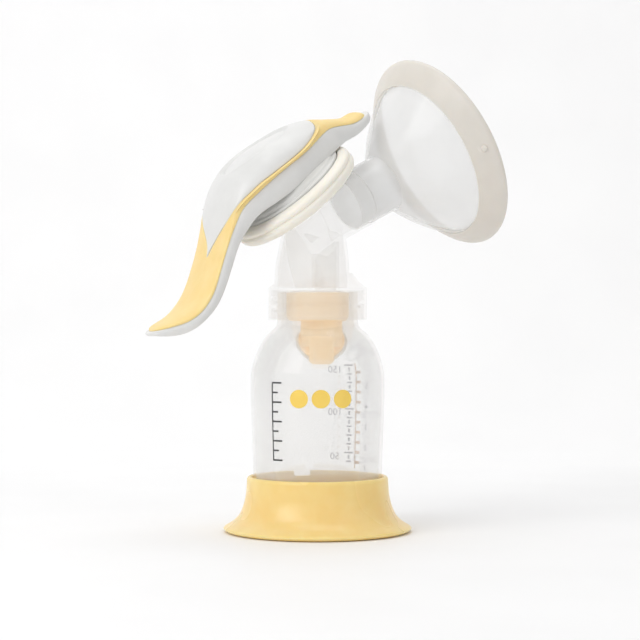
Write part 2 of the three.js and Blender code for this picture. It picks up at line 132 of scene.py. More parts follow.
def turned(name, profile, frame_matrix=Matrix.Identity(4), facets=FACETS, sharp=38):
    """A closed profile of (radius, height) points turned about the frame's Z."""
    rings = []
    for k in range(facets):
        angle = 2 * math.pi * k / facets
        c, s = math.cos(angle), math.sin(angle)
        rings.append([(r * c, r * s, z) for r, z in profile])
    bm = bmesh.new()
    rows = [[bm.verts.new(p) for p in ring] for ring in rings]
    count = len(profile)
    for k in range(facets):
        here, there = rows[k], rows[(k + 1) % facets]
        for i in range(count):
            j = (i + 1) % count
            if profile[i][0] > 0 or profile[j][0] > 0:
                bm.faces.new((here[i], here[j], there[j], there[i]))
    return finish_mesh(bm, name, frame_matrix, sharp)


def curve_through(points, per_span=6):
    """A smooth line through the points, which stay on it."""
    line = []
    for i in range(len(points) - 1):
        p0 = Vector(points[max(i - 1, 0)])
        p1, p2 = Vector(points[i]), Vector(points[i + 1])
        p3 = Vector(points[min(i + 2, len(points) - 1)])
        span = (p2 - p1).length
        before, after = max((p1 - p0).length, 1e-6), max((p3 - p2).length, 1e-6)
        leave = (p2 - p0) * (span / (span + before)) if i else p2 - p1
        arrive = (p3 - p1) * (span / (span + after)) if i + 2 < len(points) else p2 - p1
        for k in range(per_span):
            t = k / per_span
            h00 = 2 * t**3 - 3 * t**2 + 1
            h10 = t**3 - 2 * t**2 + t
            h01 = -2 * t**3 + 3 * t**2
            h11 = t**3 - t**2
            line.append(tuple(p1 * h00 + leave * h10 + p2 * h01 + arrive * h11))
    line.append(tuple(points[-1]))
    return line


def rounded(corners, steps=4):
    """A closed outline whose corners are (x, y) or (x, y, radius): each radius becomes an arc."""
    outline = []
    count = len(corners)
    for i, corner in enumerate(corners):
        here = Vector(corner[:2])
        radius = corner[2] if len(corner) > 2 else 0
        before = Vector(corners[i - 1][:2]) - here
        after = Vector(corners[(i + 1) % count][:2]) - here
        if radius <= 0 or before.length < 1e-6 or after.length < 1e-6:
            outline.append(tuple(here))
            continue
        half = before.angle(after) / 2
        reach = min(radius / max(math.tan(half), 1e-3), 0.45 * before.length, 0.45 * after.length)
        start = here + before.normalized() * reach
        end = here + after.normalized() * reach
        for k in range(steps + 1):
            t = k / steps
            outline.append(tuple(start * (1 - t) ** 2 + here * 2 * t * (1 - t) + end * t**2))
    return outline


def combine(base, other, how):
    """Joins or cuts a mesh piece by another, which is used up."""
    modifier = base.modifiers.new("combine", "BOOLEAN")
    modifier.operation = how
    modifier.solver = "MANIFOLD"
    modifier.object = other
    graph = bpy.context.evaluated_depsgraph_get()
    mesh = bpy.data.meshes.new_from_object(base.evaluated_get(graph))
    base.modifiers.clear()
    base.data = mesh
    bpy.data.objects.remove(other)
    return base


def smooth_again(piece, sharp):
    piece.data.shade_smooth()
    piece.data.set_sharp_from_angle(angle=math.radians(sharp))


def rod(radius, low, high, frame_matrix=Matrix.Identity(4), facets=FACETS):
    return turned("rod", [(0, low), (radius, low), (radius, high), (0, high)], frame_matrix, facets)


def tube(outer, inner, low, high, frame_matrix=Matrix.Identity(4)):
    profile = rounded([(inner, low, 0.3), (outer, low, 0.3), (outer, high, 0.3), (inner, high, 0.3)])
    return turned("tube", profile, frame_matrix)


def along(points, position):
    """A smooth curve through (position, value) points, read at one position."""
    i = 0
    while i + 2 < len(points) and points[i + 1][0] < position:
        i += 1

    def slope(k):
        before, after = points[max(k - 1, 0)], points[min(k + 1, len(points) - 1)]
        return (after[1] - before[1]) / (after[0] - before[0])

    (start_at, start), (end_at, end) = points[i], points[i + 1]
    width = end_at - start_at
    t = min(max((position - start_at) / width, 0), 1)
    rise = 3 * t * t - 2 * t**3
    leave = t * (1 - t) ** 2 * width * slope(i)
    arrive = t * t * (t - 1) * width * slope(i + 1)
    return start + (end - start) * rise + leave + arrive


def screw_ridge(root, crest, start, pitch, turns, root_half, crest_half):
    steps = int(turns * 56)
    rings = []
    for i in range(steps + 1):
        turn = i / steps * turns
        angle = turn * 2 * math.pi
        z = start + turn * pitch
        taper = min(1, 0.12 + min(i, steps - i) / 10)
        tip = root + (crest - root) * taper
        c, s = math.cos(angle), math.sin(angle)
        rings.append([
            (root * c, root * s, z - root_half), (tip * c, tip * s, z - crest_half),
            (tip * c, tip * s, z + crest_half), (root * c, root * s, z + root_half),
        ])
    return lofted("ridge", rings)


# ---- frames of the slanted parts ----
SHIELD_RISE = math.radians(27)
CREASE = Vector((33.9, 0, 156))
DISH_LEAN = math.radians(48)
DISH_CENTRE = Vector((-12.2, 0, 149.4))


def frame_at(origin, z_axis, x_axis):
    y_axis = z_axis.cross(x_axis)
    turn = Matrix((x_axis, y_axis, z_axis)).transposed().to_4x4()
    return Matrix.Translation(origin) @ turn


shield_axis = Vector((math.cos(SHIELD_RISE), 0, math.sin(SHIELD_RISE)))
SHIELD = frame_at(CREASE, shield_axis, Vector((-shield_axis.z, 0, shield_axis.x)))
dish_axis = Vector((-math.cos(DISH_LEAN), 0, math.sin(DISH_LEAN)))
DISH = frame_at(DISH_CENTRE, dish_axis, Vector((-dish_axis.z, 0, dish_axis.x)))


# ---- materials ----
class Nodes:
    """A material's node tree, with the object's own coordinates in millimetres at hand."""

    def __init__(self, name):
        self.material = bpy.data.materials.new(name)
        self.material.use_nodes = True
        self.tree = self.material.node_tree
        self.shader = self.tree.nodes["Principled BSDF"]
        place = self.tree.nodes.new("ShaderNodeTexCoord")
        scale = self.tree.nodes.new("ShaderNodeVectorMath")
        scale.operation = "SCALE"
        scale.inputs["Scale"].default_value = 1000
        self.tree.links.new(place.outputs["Object"], scale.inputs[0])
        self.place = scale.outputs[0]

    def noise(self, size, detail=2.0, stretch=(1, 1, 1)):
        mapping = self.tree.nodes.new("ShaderNodeMapping")
        mapping.inputs["Scale"].default_value = stretch
        self.tree.links.new(self.place, mapping.inputs["Vector"])
        noise = self.tree.nodes.new("ShaderNodeTexNoise")
        noise.inputs["Scale"].default_value = 1 / size
        noise.inputs["Detail"].default_value = detail
        self.tree.links.new(mapping.outputs["Vector"], noise.inputs["Vector"])
        return noise.outputs["Fac"]

    def ramp(self, factor, low, high, start=0.35, end=0.65):
        ramp = self.tree.nodes.new("ShaderNodeValToRGB")
        ramp.color_ramp.elements[0].position = start
        ramp.color_ramp.elements[1].position = end
        ramp.color_ramp.elements[0].color = (*low, 1)
        ramp.color_ramp.elements[1].color = (*high, 1)
        self.tree.links.new(factor, ramp.inputs["Fac"])
        return ramp.outputs["Color"]

    def spread(self, factor, low, high):
        spread = self.tree.nodes.new("ShaderNodeMapRange")
        spread.inputs["From Min"].default_value = 0.3
        spread.inputs["From Max"].default_value = 0.7
        spread.inputs["To Min"].default_value = low
        spread.inputs["To Max"].default_value = high
        self.tree.links.new(factor, spread.inputs["Value"])
        return spread.outputs["Result"]

    def link(self, output, socket):
        self.tree.links.new(output, self.shader.inputs[socket])

    def bump(self, height, depth, strength, under=None):
        bump = self.tree.nodes.new("ShaderNodeBump")
        bump.inputs["Strength"].default_value = strength
        bump.inputs["Distance"].default_value = depth * MM
        self.tree.links.new(height, bump.inputs["Height"])
        if under:
            self.tree.links.new(under, bump.inputs["Normal"])
        return bump.outputs["Normal"]

    def edges(self, colour, light, amount):
        """Mixes a lighter colour in where the surface turns sharply, as rubbed edges are."""
        shape = self.tree.nodes.new("ShaderNodeNewGeometry")
        gate = self.tree.nodes.new("ShaderNodeMapRange")
        gate.inputs["From Min"].default_value = 0.52
        gate.inputs["From Max"].default_value = 0.62
        gate.inputs["To Max"].default_value = amount
        self.tree.links.new(shape.outputs["Pointiness"], gate.inputs["Value"])
        mix = self.tree.nodes.new("ShaderNodeMix")
        mix.data_type = "RGBA"
        self.tree.links.new(gate.outputs["Result"], mix.inputs["Factor"])
        self.tree.links.new(colour, mix.inputs["A"])
        mix.inputs["B"].default_value = (*light, 1)
        return mix.outputs["Result"]


PAINTED_GLOW_STRENGTH = 0.15  # strength of the painted glow: an emission that brightens a part lying in shade, though it is no lamp
WORN_EDGE = 0.45  # how far a sharp edge takes on the paler colour


def moulded(name, low, high, light, rough, grain=0.35, scatter=0.0, radius=(1, 0.8, 0.6), body=1.0,
             glow=None):
    """Moulded plastic or silicone: faint clouding, fine grain, paler worn edges. Its body is 1 where
    it is opaque, and glow is the colour of a painted glow: an emission that brightens a part lying in
    shade."""
    nodes = Nodes(name)
    clouds = nodes.noise(9, 3)
    fine = nodes.noise(grain, 2)
    flow = nodes.noise(26, 1, (1, 1, 0.35))
    colour = nodes.ramp(clouds, low, high)
    nodes.link(nodes.edges(colour, light, WORN_EDGE), "Base Color")
    nodes.link(nodes.spread(flow, rough[0], rough[1]), "Roughness")
    wavy = nodes.bump(flow, 0.12, 0.25)
    nodes.link(nodes.bump(fine, 0.02, 0.35, wavy), "Normal")
    shader = nodes.shader.inputs
    shader["IOR"].default_value = 1.47
    shader["Alpha"].default_value = body
    # Painted glow: an emission that makes a shaded part look lit, though the part is no lamp
    if glow:
        shader["Emission Color"].default_value = (*glow, 1)
        shader["Emission Strength"].default_value = PAINTED_GLOW_STRENGTH
    if scatter:
        shader["Subsurface Weight"].default_value = scatter
        shader["Subsurface Radius"].default_value = [r * MM for r in radius]
        shader["Subsurface Scale"].default_value = 1.0
    return nodes.material


def clear_plastic(name, low, high, rough, body, through, ripple, ior=1.45):
    """See-through plastic with flow marks in its wall: body is the haze that it shows, and through
    is the part of that haze which bends light rather than scattering it."""
    nodes = Nodes(name)
    flow = nodes.noise(11, 2, (1, 1, 0.4))
    fine = nodes.noise(0.5, 2)
    nodes.link(nodes.ramp(flow, low, high), "Base Color")
    nodes.link(nodes.spread(flow, rough[0], rough[1]), "Roughness")
    wavy = nodes.bump(flow, ripple, 0.3)
    nodes.link(nodes.bump(fine, 0.01, 0.15, wavy), "Normal")
    nodes.shader.inputs["Transmission Weight"].default_value = through
    nodes.shader.inputs["IOR"].default_value = ior
    nodes.shader.inputs["Alpha"].default_value = body
    return nodes.material


def make_materials():
    return {
        "stand_yellow": moulded(
            "stand_yellow", (0.95, 0.67, 0.26), (0.97, 0.71, 0.3), (0.97, 0.84, 0.55), (0.24, 0.3),
            scatter=0.5, radius=(4, 3.2, 2)),
        "grip_yellow": moulded(
            "grip_yellow", (0.91, 0.67, 0.27), (0.94, 0.71, 0.32), (0.97, 0.84, 0.55), (0.38, 0.46),
            grain=0.25, scatter=0.2, radius=(2, 1.2, 0.4)),
        "white": moulded(
            "white_plastic", (0.73, 0.73, 0.72), (0.76, 0.76, 0.75), (0.86, 0.86, 0.85), (0.26, 0.34),
            scatter=0.15, radius=(1.5, 1.5, 1.6)),
        # Painted shade: a darker copy of the white plastic for the handle's rocker, which is white but lies
        # in shade under the handle.
        "white_in_painted_shade": moulded(
            "white_plastic_painted_shade", (0.68, 0.68, 0.66), (0.72, 0.72, 0.7), (0.82, 0.82, 0.8),
            (0.36, 0.46)),
        "cream": moulded(
            "cream_silicone", (0.88, 0.84, 0.76), (0.9, 0.865, 0.79), (0.94, 0.91, 0.85), (0.42, 0.52),
            grain=0.5, scatter=0.35, radius=(3, 2.4, 1.6)),
        "soft_rim": moulded(
            "soft_rim", (0.7, 0.67, 0.62), (0.72, 0.69, 0.64), (0.84, 0.82, 0.78), (0.36, 0.44),
            grain=0.5, scatter=0.35, radius=(4, 3.4, 2.6)),
        "flap": moulded(
            "white_silicone", (0.8, 0.8, 0.79), (0.86, 0.86, 0.85), (0.95, 0.95, 0.94), (0.4, 0.5),
            scatter=0.3, radius=(3, 3, 2.8)),
        # The valve gets a painted glow: an emission that lightens it where it lies in shade inside the
        # bottle.
        "valve": moulded(
            "valve_yellow", (0.98, 0.74, 0.4), (0.985, 0.79, 0.46), (0.99, 0.87, 0.62), (0.3, 0.38),
            body=0.8, glow=(1, 0.68, 0.34)),
        "bottle": clear_plastic("bottle_clear", (0.92, 0.92, 0.915), (0.95, 0.95, 0.945),
                                (0.03, 0.07), 0.3, 0.5, 0.1, 1.45),
        "connector": clear_plastic("connector_clear", (0.975, 0.97, 0.955), (0.99, 0.985, 0.97),
                                   (0.1, 0.18), 0.15, 0.1, 0.1, 1.45),
        "shield": clear_plastic("shield_clear", (0.82, 0.82, 0.815), (0.85, 0.85, 0.845),
                                (0.12, 0.2), 0.44, 0.2, 0.1, 1.4),
        "print_grey": moulded("print_grey", (0.2, 0.21, 0.26), (0.26, 0.27, 0.32), (0.3, 0.31, 0.36),
                              (0.5, 0.6)),
        "print_dark": moulded("print_dark", (0.03, 0.03, 0.03), (0.05, 0.05, 0.05), (0.08, 0.08, 0.08),
                              (0.45, 0.55)),
        "print_yellow": moulded("print_yellow", (0.9, 0.6, 0.07), (0.94, 0.65, 0.1), (0.95, 0.7, 0.2),
                                (0.45, 0.55)),
        "print_orange": moulded("print_orange", (0.86, 0.5, 0.2), (0.9, 0.55, 0.25), (0.95, 0.6, 0.3),
                                (0.45, 0.55)),
    }


def put(piece, body, material, slot, *replaced):
    """Gives a piece its material and body, and hides the CAD nodes that it stands for. The slot is not
    used.
    """
    piece.data.materials.clear()
    piece.data.materials.append(material)
    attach(piece, body)
    if replaced:
        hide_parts(*replaced)
    return piece


# ---- stand ----
STAND_TOP = 24.5


def stand(look):
    flare = curve_through([
        (41.2, 2.3), (39.6, 3.2), (37.3, 4.8), (34.9, 7.4), (33.3, 10.8), (32.2, 14.8), (31.7, 18.5),
        (31.4, STAND_TOP - 1),
    ])
    rim = curve_through([
        (31.4, STAND_TOP - 1), (30.9, STAND_TOP - 0.2), (30.2, STAND_TOP), (29.5, STAND_TOP - 0.3),
        (29.2, STAND_TOP - 1),
    ], 4)
    floor_edge = curve_through([(38.6, 0), (40.6, 0.5), (41.8, 1.5), (41.2, 2.3)], 4)
    inside = rounded([(29.2, 12), (29.2, 2.6, 1.8), (0, 2.6)], 5)[1:]
    profile = [(0, 0)] + floor_edge[:-1] + flare[:-1] + rim + inside
    body = turned("stand_body", profile, facets=144)
    turn = Matrix.Rotation(math.radians(76), 4, "Z")
    notch = lofted("notch", [
        [(x, y, z) for y, z in rounded([(-4, 22, 1.2), (4, 22, 1.2), (4, 27), (-4, 27)], 5)]
        for x in (26, 34)
    ], turn)
    combine(body, notch, "DIFFERENCE")
    smooth_again(body, 38)
    put(body, "stand", look["stand_yellow"], "yellow_plastic", "bottle_stand")


# ---- bottle ----
BOTTLE_Z = 3.0
BOTTLE_OUTSIDE = [
    (26.2, BOTTLE_Z + 0.2), (27.6, BOTTLE_Z + 1), (28.25, BOTTLE_Z + 2.6), (28.4, BOTTLE_Z + 5),
    (28.7, 27), (29.5, 48), (29.8, 58), (29.8, 68), (29.3, 72), (28, 77), (25.8, 82.3),
    (22.3, 87.6), (19.4, 90.2), (18.2, 91.8), (17.9, 93.6),
]
BOTTLE_INSIDE = [
    (16.2, 93.2), (16.7, 91.2), (18.2, 89.4), (21.2, 86.6), (24.6, 81.4), (26.7, 76.4),
    (28, 71.6), (28.4, 67.6), (28.4, 58), (28.1, 48), (27.3, 27), (27, BOTTLE_Z + 6),
    (26, BOTTLE_Z + 2.8), (23.5, BOTTLE_Z + 1.6),
]


PRINT_RADIUS = 29.5  # arc lengths of the print are measured at this radius
NEAR_SCALE = -21.3  # arc length of the dark scale's line on the near side
DOT_RADIUS = 4


def bottle_radius(z):
    return along([(height, r) for r, height in BOTTLE_OUTSIDE], z)


def on_bottle(angle, z, lift=0.06):
    """A point on the bottle's outside; the angle is measured from the viewer, positive to the right."""
    r = bottle_radius(z) + lift
    place = (-view_axis * math.cos(angle) + view_right * math.sin(angle)) * r
    return Vector((place.x, place.y, z))


def wrap_print(name, outlines):
    """Thin printed patches: outlines are lists of (arc length, height) points on the bottle."""
    bm = bmesh.new()
    for outline in outlines:
        ring = [bm.verts.new(on_bottle(s / PRINT_RADIUS, z, 0.03)) for s, z in outline]
        top = [bm.verts.new(on_bottle(s / PRINT_RADIUS, z, 0.09)) for s, z in outline]
        bm.faces.new(ring[::-1])
        bm.faces.new(top)
        for i in range(len(outline)):
            j = (i + 1) % len(outline)
            bm.faces.new((ring[i], ring[j], top[j], top[i]))
    bmesh.ops.triangulate(bm, faces=[f for f in bm.faces if len(f.verts) > 4])
    return finish_mesh(bm, name, Matrix.Identity(4), 30)


def strip(s0, s1, z0, z1):
    """A printed bar, cut into short steps so that it follows the bottle."""
    steps_up = max(1, round((z1 - z0) / 1.5))
    steps_round = max(1, round(abs(s1 - s0) / 1.5))
    patches = []
    for i in range(steps_up):
        for k in range(steps_round):
            a = s0 + (s1 - s0) * k / steps_round
            b = s0 + (s1 - s0) * (k + 1) / steps_round
            low = z0 + (z1 - z0) * i / steps_up
            high = z0 + (z1 - z0) * (i + 1) / steps_up
            patches.append([(a, low), (b, low), (b, high), (a, high)])
    return patches


def digits(name, entries, height):
    """Numbers printed round the bottle. Entries are (text, arc length of the middle, height)."""
    bm = bmesh.new()
    for text, middle, z in entries:
        curve = bpy.data.curves.new("digits", "FONT")
        curve.body = text
        curve.size = height
        curve.align_x, curve.align_y = "CENTER", "CENTER"
        curve.extrude = 0.05
        source = bpy.data.objects.new("digits", curve)
        bpy.context.collection.objects.link(source)
        graph = bpy.context.evaluated_depsgraph_get()
        mesh = bpy.data.meshes.new_from_object(source.evaluated_get(graph))
        for vertex in mesh.vertices:
            angle = (middle + vertex.co.x) / PRINT_RADIUS
            vertex.co = on_bottle(angle, z + vertex.co.y, 0.06 + vertex.co.z)
        bm.from_mesh(mesh)
        bpy.data.objects.remove(source)
    return finish_mesh(bm, name, Matrix.Identity(4), 30)


def bottle(look):
    base = curve_through([(0, BOTTLE_Z + 1), (12, BOTTLE_Z + 0.7), (19, BOTTLE_Z + 0.1),
                          (22.5, BOTTLE_Z), (26.2, BOTTLE_Z + 0.2)])
    outside = curve_through(BOTTLE_OUTSIDE)
    lip = rounded([(17.9, 100), (17.9, 106.5, 0.5), (16.2, 106.5, 0.5), (16.2, 100)], 4)
    inside = curve_through(BOTTLE_INSIDE)
    floor = curve_through([(23.5, BOTTLE_Z + 1.6), (19, BOTTLE_Z + 1.4), (12, BOTTLE_Z + 2),
                           (0, BOTTLE_Z + 2.4)])
    wall = turned("bottle_wall", base[:-1] + outside + lip + inside[:-1] + floor, sharp=50)
    combine(wall, screw_ridge(17.3, 19.3, 96.2, 4, 1.5, 1, 0.4), "UNION")
    smooth_again(wall, 40)
    put(wall, "bottle", look["bottle"], "bottle_clear", "bottle")

    half_round = math.pi * PRINT_RADIUS  # arc length from the near side to the far side
    scale_at = half_round - 15.2
    ticks = []
    for step in range(4, 16):
        z = 12.5 + step * 4.02
        wide = 4.6 if step % 5 == 0 else 2.6
        ticks += strip(scale_at - wide / 2, scale_at + wide / 2, z, z + 0.7)
        if step < 15:
            ticks += strip(scale_at - 0.45, scale_at + 0.45, z + 1.5, z + 3.3)
    put(wrap_print("bottle_scale_marks", ticks), "bottle", look["print_grey"], "grey_plastic")
    volumes = [("50", half_round - 8.2, 31), ("100", half_round - 8.2, 51.4),
               ("150", half_round - 8.2, 71)]
    put(digits("bottle_scale_numbers", volumes, 4.6), "bottle", look["print_grey"],
        "grey_plastic")
    ruler = strip(half_round - 19, half_round - 18.4, 26, 74)
    for step in range(10):
        ruler += strip(half_round - 21.4, half_round - 19, 28 + step * 4.6, 29.3 + step * 4.6)
    put(wrap_print("bottle_ruler", ruler), "bottle", look["print_orange"], "yellow_plastic")
    ounces = [(str(n + 1), half_round - 25, 26 + n * 9.4) for n in range(5)]
    put(digits("bottle_ounce_numbers", ounces, 3.6), "bottle", look["print_grey"],
        "grey_plastic")

    # On the near side: a plain dark scale and three yellow dots.
    line_end = NEAR_SCALE + 0.6
    near = strip(NEAR_SCALE, line_end, 33, 67)
    for step in range(9):
        z = 33 + step * 4.18
        wide = 4.6 if step % 2 == 0 else 2.8
        near += strip(line_end, line_end + wide, z, z + 0.75)
    put(wrap_print("bottle_near_marks", near), "bottle", look["print_dark"], "grey_plastic")
    dots = []
    z = 60
    for middle in (-8, 1.5, 11):
        for k in range(24):
            a = 2 * math.pi * k / 24
            b = 2 * math.pi * (k + 1) / 24
            dots.append([
                (middle, z), (middle + DOT_RADIUS * math.cos(a), z + DOT_RADIUS * math.sin(a)),
                (middle + DOT_RADIUS * math.cos(b), z + DOT_RADIUS * math.sin(b)),
            ])
    put(wrap_print("bottle_dots", dots), "bottle", look["print_yellow"], "yellow_plastic")


# ---- connector ----
COLLAR_TOP = 108.3
DISH_INSIDE = [(26.6, -0.6), (26.5, -2.6), (25.4, -4.2), (23.6, -5.2), (13.8, -9)]
COLUMN = [(COLLAR_TOP, 17, -2.6), (118, 16.4, -2.6), (124, 15.6, -2.3), (131, 14.5, -2), (152, 13, -0.6)]


def column(wall):
    radii = [(z, r) for z, r, x in COLUMN]
    middles = [(z, x) for z, r, x in COLUMN]
    rings = []
    for k in range(25):
        z = COLLAR_TOP + (152 - COLLAR_TOP) * k / 24
        r, middle = along(radii, z) - wall, along(middles, z)
        rings.append([
            (middle + r * math.cos(2 * math.pi * i / 96), r * math.sin(2 * math.pi * i / 96), z)
            for i in range(96)
        ])
    return lofted("column", rings)


def connector(look):
    shoulder = curve_through([(22, COLLAR_TOP), (19.8, 109.9), (17.6, 112), (15.6, 114.9)], 4)
    body = turned("connector_body", [(0, 107), (20.7, 107), (20.7, 94.2), (20.9, 94), (21.8, 94),
                                     (22, 94.2)] + shoulder + [(0, 114.9)])
    shaft = column(0)
    combine(shaft, rod(60, -9.6, 60, DISH), "DIFFERENCE")
    combine(body, shaft, "UNION")
    tunnel = turned("tunnel", rounded([(0, -46), (13.8, -46), (13.8, -15, 0.5), (0, -15)]), SHIELD)
    in_dish = turned("in_dish", [(0, 40), (26.6, 40)] + DISH_INSIDE + [(0, -9)], DISH)
    combine(tunnel, in_dish, "DIFFERENCE")
    combine(body, tunnel, "UNION")
    dish = turned("dish", [(0, -10.4), (14, -10.2), (24.5, -6), (26.6, -4.2), (27, -3.4),
                           (28.2, -3.4), (28.2, -0.6)] + DISH_INSIDE + [(0, -9)], DISH)
    combine(body, dish, "UNION")

    # The hollow column keeps the tunnel's wall, the milk tube and a slanted baffle.
    beside = Matrix.Translation((4, 0, 0))
    hollow = column(1.4)
    combine(hollow, rod(60, -60, -8.6, DISH), "INTERSECT")
    combine(hollow, rod(13.8, -41, -15, SHIELD), "DIFFERENCE")
    combine(hollow, rod(6.2, 106, 134, beside), "DIFFERENCE")
    lean = Matrix.Translation((-9.5, 0, 124)) @ Matrix.Rotation(math.radians(-20), 4, "Y")
    plate = lofted("plate", [[(x, y, z) for x, y in ((-0.65, -20), (0.65, -20), (0.65, 20), (-0.65, 20))]
                             for z in (-20, 20)], lean)
    combine(hollow, plate, "DIFFERENCE")
    combine(body, hollow, "DIFFERENCE")
    bore = rod(11.6, -42, -14, SHIELD)
    combine(bore, rod(60, -60, -8.6, DISH), "INTERSECT")
    combine(body, bore, "DIFFERENCE")
    combine(body, rod(12.75, -22.5, -14, SHIELD), "DIFFERENCE")
    air = rod(10, -30, 0, DISH)
    combine(air, column(1.4), "INTERSECT")
    combine(body, air, "DIFFERENCE")
    combine(body, rod(4.9, 90, 138, beside), "DIFFERENCE")
    combine(body, tube(12.4, 11.2, 97, 107.5), "UNION")
    combine(body, screw_ridge(21.3, 18.7, 98.2, 4, 1.5, 1, 0.4), "UNION")
    smooth_again(body, 34)
    put(body, "pump_head", look["connector"], "connector_clear", "connector")


# ---- valve ----
VALVE_TURN = math.radians(62)
VALVE_TILT = math.radians(40)


def valve(look):
    turn = Matrix.Translation((2, 0, 0)) @ Matrix.Rotation(VALVE_TURN, 4, "Z")
    face_axis = Vector((math.cos(VALVE_TILT), 0, -math.sin(VALVE_TILT)))
    face = turn @ frame_at(Vector((0, 0, 84.5)), face_axis, Vector((-face_axis.z, 0, face_axis.x)))
    body = turned("valve_body", rounded([
        (0, 93.6), (12.6, 93.6, 0.8), (13.9, 95.4, 0.8), (13.9, 106, 0.4), (12.7, 106, 0.4),
        (12.7, 95.4, 0.4), (0, 95.4)]))
    combine(body, turned("spout", rounded([(0, 82), (9.3, 82, 0.4), (9.3, 94.5), (0, 94.5)]), turn),
            "UNION")
    wedge = lofted("wedge", [[(x, y, z) for x, y in rounded(
        [(-8.5, -5.5, 1.5), (8.5, -5.5, 1.5), (8.5, 5.5, 1.5), (-8.5, 5.5, 1.5)])] for z in (72, 94)], turn)
    combine(wedge, rod(9.3, 60, 96, turn), "INTERSECT")
    combine(body, wedge, "UNION")
    combine(body, turned("seat", rounded([(0, -1.4), (10.3, -1.4, 0.3), (10.3, 0, 0.2), (0, 0)]), face),
            "UNION")
    combine(body, rod(60, 0, 60, face), "DIFFERENCE")
    combine(body, rod(3.6, 60, 96, turn), "DIFFERENCE")
    smooth_again(body, 34)
    put(body, "pump_head", look["valve"], "valve_yellow", "valve_head")
    flap = turned("valve_flap_disc", rounded([
        (0, GAP), (11.5, GAP, 0.3), (11.5, 1, 0.4), (2.8, 1.3, 0.5), (2.4, 2.5, 0.5), (0, 2.6)]),
        face, 72)
    put(flap, "valve_flap", look["flap"], "white_silicone", "valve_membrane")


# ---- shield ----
def shield(look):
    outside = curve_through([(13.2, 0), (15, 1.2), (18.6, 4.4), (26.4, 11.7), (33, 19.2), (37.3, 25.2)], 8)
    inside = curve_through([(36, 26.1), (31.6, 20.2), (25, 12.9), (17.4, 5.8), (13.4, 2.6), (12, 0)], 8)
    tail = rounded([(11.6, -22.2, 0.3), (12.45, -22.2, 0.4), (12.45, -14.7), (13.2, -14.7, 0.4),
                    (13.2, -7)])
    funnel = turned("shield_funnel_skin", tail + outside + inside + [(11.9, -3)], SHIELD, sharp=30)
    put(funnel, "shield", look["shield"], "shield_clear", "shield_funnel")
    rim_outline = curve_through([
        (37.2, 24.6), (39.4, 26.1), (43.3, 29.6), (45.3, 31.8), (45.95, 33.5), (45.2, 34.85), (43.9, 35.15),
        (42.6, 34.3), (38.6, 29.6), (36, 26.4)], 6)
    rim = turned("shield_rim_skin", rim_outline, SHIELD)
    for angle in (90, -90):
        turn = Matrix.Rotation(math.radians(angle), 4, "Z")
        at = SHIELD @ turn @ frame_at(Vector((43.2, 0, 29.4)), Vector((0.68, 0, -0.733)),
                                      Vector((0.733, 0, 0.68)))
        pip = turned("pip", curve_through([(0, -1.4), (1.5, -1.3), (1.6, -0.2), (1.4, 0.5), (0.9, 0.85),
                                           (0, 0.95)], 4), at, 32)
        combine(rim, pip, "UNION")
    smooth_again(rim, 38)
    put(rim, "shield", look["soft_rim"], "rim_soft", "shield_soft_rim")


# ---- diaphragm ----
def diaphragm(look):
    outside = curve_through([
        (27.6, -4.7), (28.8, -4.8), (30, -4.3), (30.9, -3), (31.1, -1.5), (30.7, -0.6), (30.3, -0.2),
        (30.7, 0.3), (30.9, 1), (30.7, 1.8), (29.8, 2.7), (28.2, 3.3), (26.8, 3.5), (26.45, 3)], 5)
    ring = turned("diaphragm_ring_skin", outside + [(26.6, -0.3), (28.5, -0.3), (28.5, -3.7),
                                                    (27.6, -3.7)], DISH, sharp=42)
    put(ring, "diaphragm_ring", look["cream"], "cream_silicone", "diaphragm_rim")
    cuff = turned("diaphragm_cuff", rounded([
        (25.1, 1, 0.3), (26.2, 1, 0.3), (26.2, -1.6, 0.2), (25.1, -1.6, 0.2)]), DISH)
    put(cuff, "diaphragm_cup", look["cream"], "cream_silicone")
    cup = turned("diaphragm_cup_skin", curve_through([
        (26.1, -2.5), (25.4, -3.6), (23.4, -4.7), (18.5, -6.6), (13.7, -8.3), (9, -8.4), (4.9, -8.4)], 4)
        + curve_through([(4.9, -7.3), (9, -7.3), (13.4, -7.2), (18.2, -5.5), (23, -3.6), (24.6, -2.7),
                         (25.2, -2.5)], 4), DISH)
    cup.data.materials.append(look["cream"])
    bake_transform(cup)
    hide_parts("diaphragm_membrane")
    stem = turned("stem_skin", rounded([
        (0, -9.9), (7.5, -9.9, 0.4), (7.5, -8.8, 0.3), (4.5, -8.8), (4.5, 10.6), (6.8, 10.6, 0.3),
        (6.8, 11.8, 0.5), (5, 13.4, 0.8), (0, 13.4)]), DISH, 64)
    put(stem, "handle", look["white"], "white_plastic", "diaphragm_stem")
    seal = [(5.75 + 0.9 * math.cos(2 * math.pi * i / 16), -5.9 + 0.9 * math.sin(2 * math.pi * i / 16))
            for i in range(16)]
    put(turned("seal_skin", seal, DISH, 64), "handle", look["cream"], "cream_silicone", "stem_o_ring")


